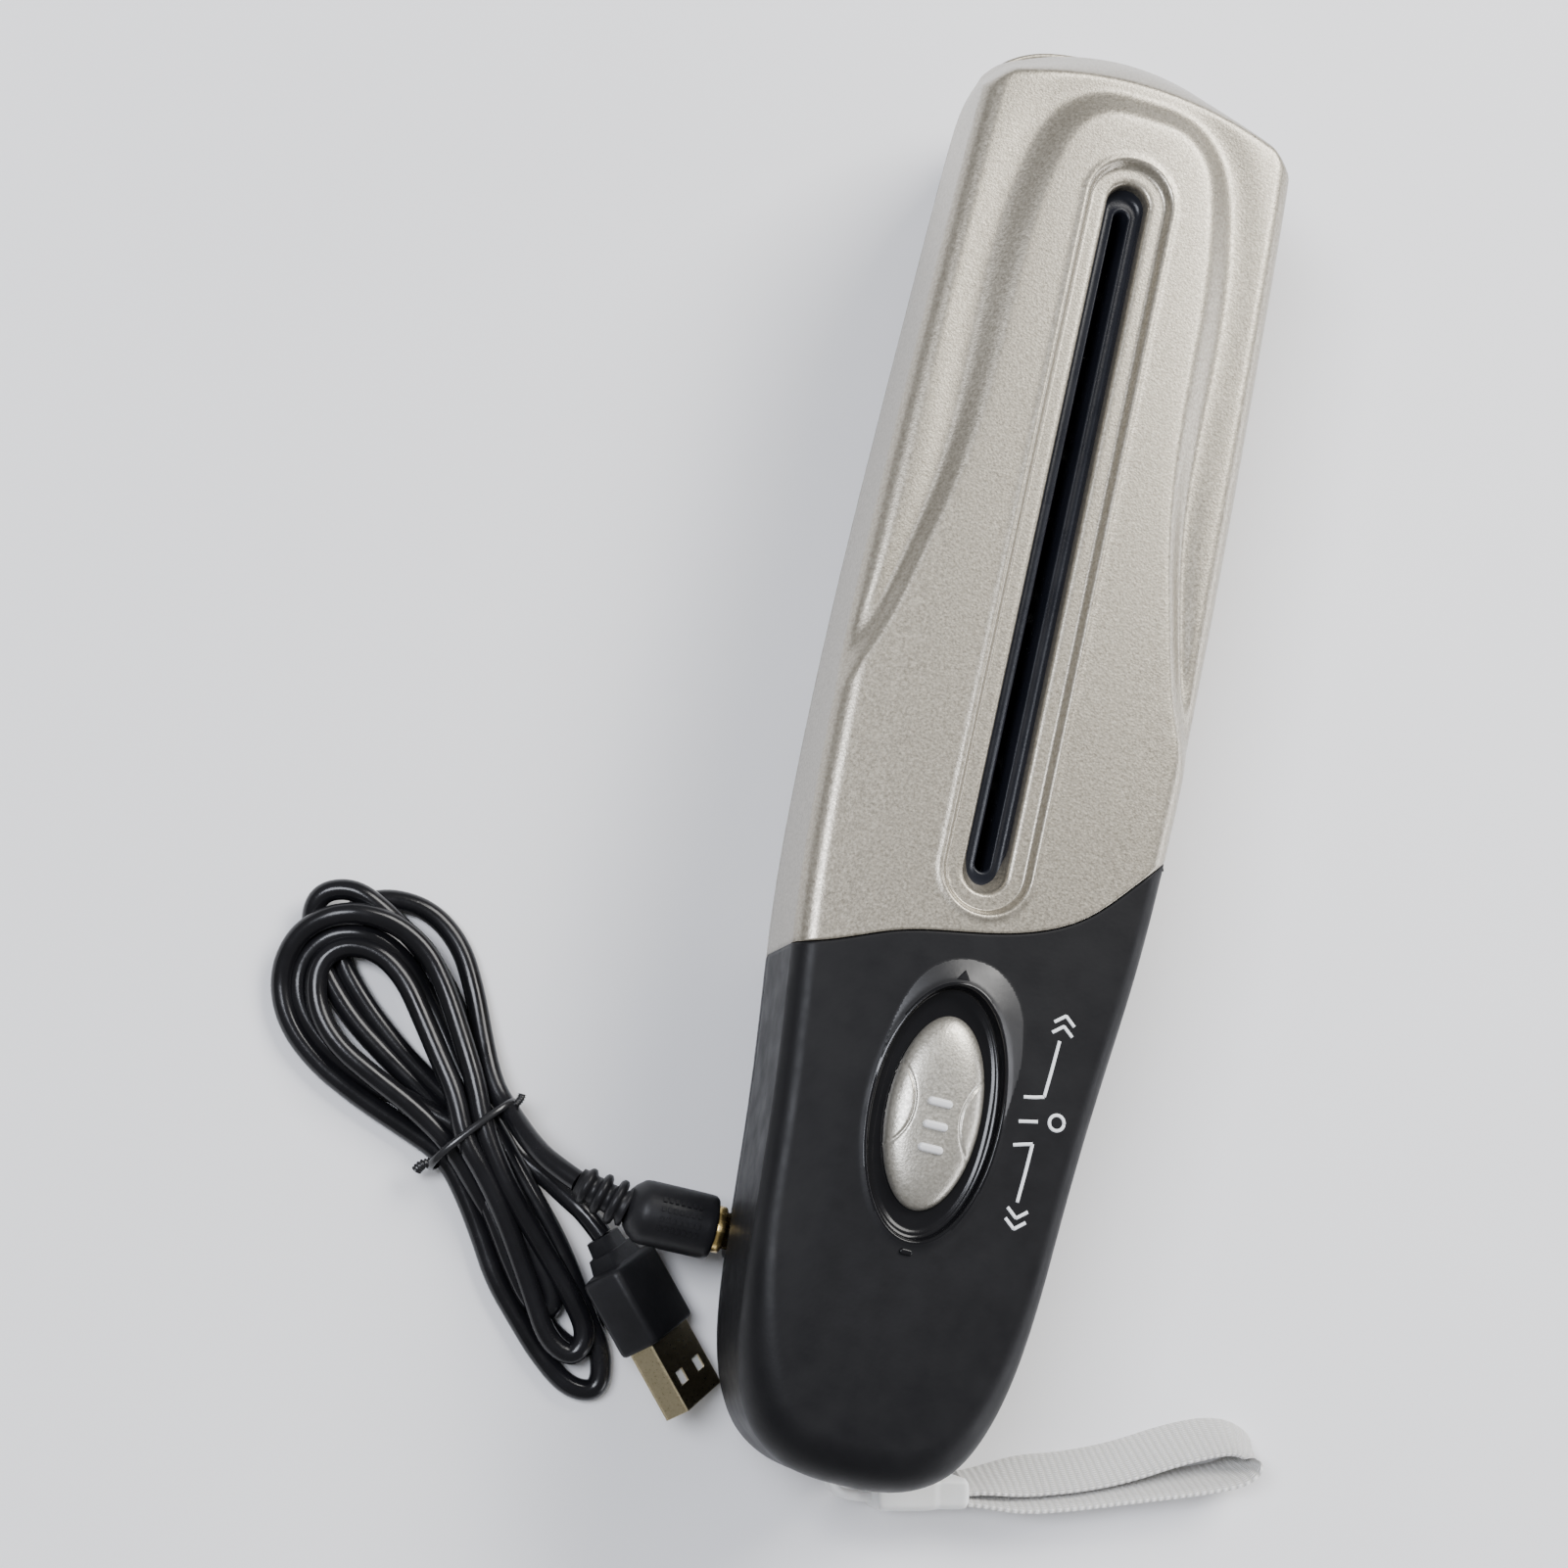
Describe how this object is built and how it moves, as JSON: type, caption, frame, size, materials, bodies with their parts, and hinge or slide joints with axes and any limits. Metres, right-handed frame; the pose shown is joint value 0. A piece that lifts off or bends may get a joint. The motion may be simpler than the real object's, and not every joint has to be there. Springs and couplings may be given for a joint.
{
  "type": "handheld paper shredder",
  "caption": "Slim handheld paper shredder lying on its back, long feed slot in a silver head, black handle with sliding oval switch, plugged-in lead and wrist strap.",
  "frame": {"origin": "centre of the casing's footprint on the surface it lies on, rear face down, leaving out the lead and strap", "axes": "+X to the right seen from the front with the head up, +Y along the casing towards the head, +Z out of the front face"},
  "size_m": [0.1719, 0.2387, 0.0479],
  "materials": {
    "silver_paint": "fine metallic champagne-silver paint, satin",
    "black_plastic": "satin black moulded plastic, fine texture",
    "throat_black": "black moulded plastic",
    "gear_plastic": "natural nylon",
    "frame_steel": "zinc plated sheet",
    "blade_steel": "hardened steel, ground",
    "bush_bronze": "sintered bronze",
    "spacer_plastic": "dark nylon",
    "motor_steel": "drawn can",
    "screw_steel": "plated",
    "cell_wrap": "printed-free shrink wrap",
    "spring_steel": "nickel plated",
    "board_green": "solder mask",
    "brass_barrel": "polished",
    "cord_black": "glossy PVC sheath",
    "plug_black": "moulded PVC",
    "usb_metal": "nickel plated, warm tint",
    "tongue_white": "moulded",
    "webbing_white": "woven nylon webbing",
    "ferrule_white": "moulded"
  },
  "bodies": {
    "housing": {"head_front_cover": "silver_paint", "head_rear_cover": "silver_paint", "handle_front_cover": "black_plastic", "handle_rear_cover": "black_plastic", "cover_screws": "screw_steel", "feed_throat": "throat_black", "exit_chute": "throat_black", "stripper_comb_right": "throat_black", "stripper_comb_left": "throat_black", "low_end_plate": "frame_steel", "high_end_plate": "frame_steel", "frame_rail_left": "frame_steel", "frame_rail_right": "frame_steel", "axle_bushes": "bush_bronze", "frame_screws": "screw_steel", "motor_plate": "frame_steel", "idler_pin": "blade_steel", "motor": "motor_steel", "battery_cells": "cell_wrap", "contact_springs": "spring_steel", "battery_tray": "throat_black", "contact_plate": "spring_steel", "control_board": "board_green", "slide_switch": "throat_black", "power_jack": "throat_black", "plug_barrel": "brass_barrel", "power_plug": "plug_black", "plug_strain_relief": "plug_black", "usb_grip": "plug_black", "usb_shell": "usb_metal", "usb_tongue": "tongue_white", "plug_lead": "cord_black", "usb_lead": "cord_black", "lead_hank": "cord_black", "hank_tie": "plug_black", "wrist_strap": "webbing_white", "strap_ferrule": "ferrule_white", "lanyard_pin": "frame_steel", "lanyard_loop": "webbing_white"},
    "cutter_right": {"cutter_blades_right": "blade_steel", "cutter_spacers_right": "spacer_plastic", "cutter_axle_right": "blade_steel", "sync_gear_right": "gear_plastic", "final_gear": "gear_plastic"},
    "cutter_left": {"cutter_blades_left": "blade_steel", "cutter_spacers_left": "spacer_plastic", "cutter_axle_left": "blade_steel", "sync_gear_left": "gear_plastic"},
    "idler": {"idler_gear": "gear_plastic"},
    "rotor": {"motor_shaft": "blade_steel", "motor_pinion": "bush_bronze"},
    "knob": {"switch_knob": "silver_paint", "switch_carriage": "throat_black"},
    "door": {"battery_door": "black_plastic"}
  },
  "joints": [
    {"name": "cutter_right_spin", "type": "hinge", "parent": "housing", "child": "cutter_right", "pos_m": [0.0068, 0, 0.022], "axis": [0, 1, 0], "continuous": true},
    {"name": "cutter_left_spin", "type": "hinge", "parent": "housing", "child": "cutter_left", "pos_m": [-0.0068, 0, 0.022], "axis": [0, 1, 0], "continuous": true},
    {"name": "idler_spin", "type": "hinge", "parent": "housing", "child": "idler", "pos_m": [-0.0076, 0, 0.022], "axis": [0, 1, 0], "continuous": true},
    {"name": "motor_spin", "type": "hinge", "parent": "housing", "child": "rotor", "pos_m": [0.0059, 0, 0.022], "axis": [0, 1, 0], "continuous": true},
    {"name": "switch_slide", "type": "slide", "parent": "housing", "child": "knob", "axis": [0, 1, 0], "range_m": [-0.004, 0.004]},
    {"name": "battery_door_slide", "type": "slide", "parent": "housing", "child": "door", "axis": [0, -1, 0], "range_m": [0, 0.008]}
  ],
  "couplings": [
    {"joint": "cutter_left_spin", "follows": "cutter_right_spin", "ratio": -1},
    {"joint": "idler_spin", "follows": "cutter_right_spin", "ratio": -3},
    {"joint": "motor_spin", "follows": "cutter_right_spin", "ratio": 13.2}
  ]
}
